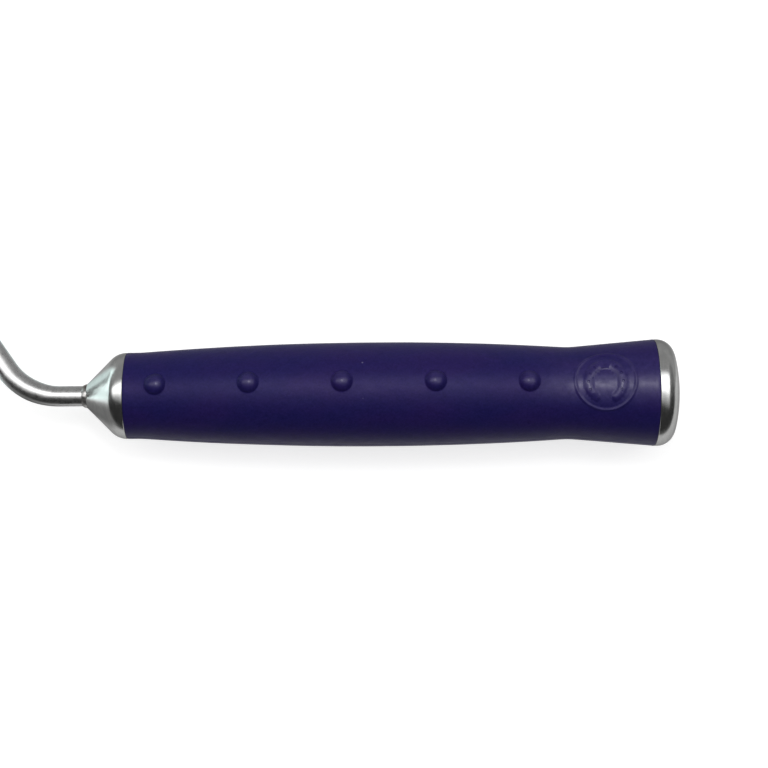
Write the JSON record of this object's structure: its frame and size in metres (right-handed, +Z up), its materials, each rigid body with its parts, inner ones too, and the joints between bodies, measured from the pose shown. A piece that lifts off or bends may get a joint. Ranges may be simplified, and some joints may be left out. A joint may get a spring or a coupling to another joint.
{
  "type": "hoof pick",
  "caption": "Hand tool for cleaning hooves: a bent steel rod with a flat bevelled blade, set in a barrel-shaped rubber-covered handle with steel ends.",
  "frame": {"origin": "centre of the base of the tool's box, as it lies on a level surface on the crown of its hook and the studs under its grip", "axes": "+X along the handle, from the hook to the rear cap; +Z up; +Y towards the side on which the crown of the hook lies"},
  "size_m": [0.2483, 0.064, 0.0308],
  "materials": {
    "forged_steel": "satin, with fine lengthwise polishing marks",
    "turned_steel": "polished, with fine turning marks",
    "weld": "heat-tinted, cleaned with a brush",
    "grip_rubber": "matte moulded rubber, dark violet",
    "inner_steel": "plain, hidden inside the handle"
  },
  "bodies": {
    "root": {"hook_shank": "forged_steel", "neck_weld": "weld", "front_ferrule": "turned_steel", "front_lock_pin": "inner_steel", "core_tube": "inner_steel", "rubber_grip": "grip_rubber", "rear_lock_pin": "inner_steel", "rear_cap": "turned_steel"}
  },
  "joints": []
}
